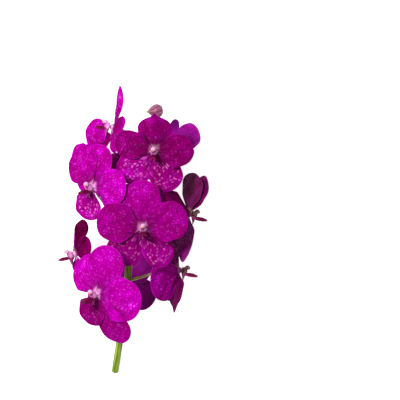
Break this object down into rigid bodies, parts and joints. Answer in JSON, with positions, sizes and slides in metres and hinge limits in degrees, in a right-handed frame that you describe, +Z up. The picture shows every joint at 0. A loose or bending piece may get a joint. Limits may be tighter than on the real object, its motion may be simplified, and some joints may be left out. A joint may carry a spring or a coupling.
{
  "type": "cut vanda orchid flower spray",
  "caption": "Cut flower spray of a magenta vanda orchid: open blooms with dark lips and a bud on thin stalks round a green stem, lying on its lowest blooms.",
  "frame": {"origin": "on the surface that the spray lies on, under the middle of its bounding box", "axes": "+Z up, towards the best blooms; +Y along the stem, from its cut end to the last bud; +X to the right, seen from above with the cut end below"},
  "size_m": [0.1355, 0.2614, 0.117],
  "materials": {
    "tepals": "soft satin, netted with paler spots on the front, plain and purple behind",
    "lip": "satin",
    "column": "waxy satin",
    "bud": "matte, faintly ribbed",
    "stem": "smooth, fresh green"
  },
  "bodies": {
    "root": {"stem": "stem", "bud": "bud", "bloom_01_tepals": "tepals", "bloom_01_lip": "lip", "bloom_01_column": "column", "bloom_02_tepals": "tepals", "bloom_02_lip": "lip", "bloom_02_column": "column", "bloom_03_tepals": "tepals", "bloom_03_lip": "lip", "bloom_03_column": "column", "bloom_04_tepals": "tepals", "bloom_04_lip": "lip", "bloom_04_column": "column", "bloom_05_tepals": "tepals", "bloom_05_lip": "lip", "bloom_05_column": "column", "bloom_06_tepals": "tepals", "bloom_06_lip": "lip", "bloom_06_column": "column", "bloom_07_tepals": "tepals", "bloom_07_lip": "lip", "bloom_07_column": "column", "bloom_08_tepals": "tepals", "bloom_08_lip": "lip", "bloom_08_column": "column", "bloom_09_tepals": "tepals", "bloom_09_lip": "lip", "bloom_09_column": "column", "bloom_10_tepals": "tepals", "bloom_10_lip": "lip", "bloom_10_column": "column", "bloom_11_tepals": "tepals", "bloom_11_lip": "lip", "bloom_11_column": "column", "bloom_12_tepals": "tepals", "bloom_12_lip": "lip", "bloom_12_column": "column"}
  },
  "joints": []
}
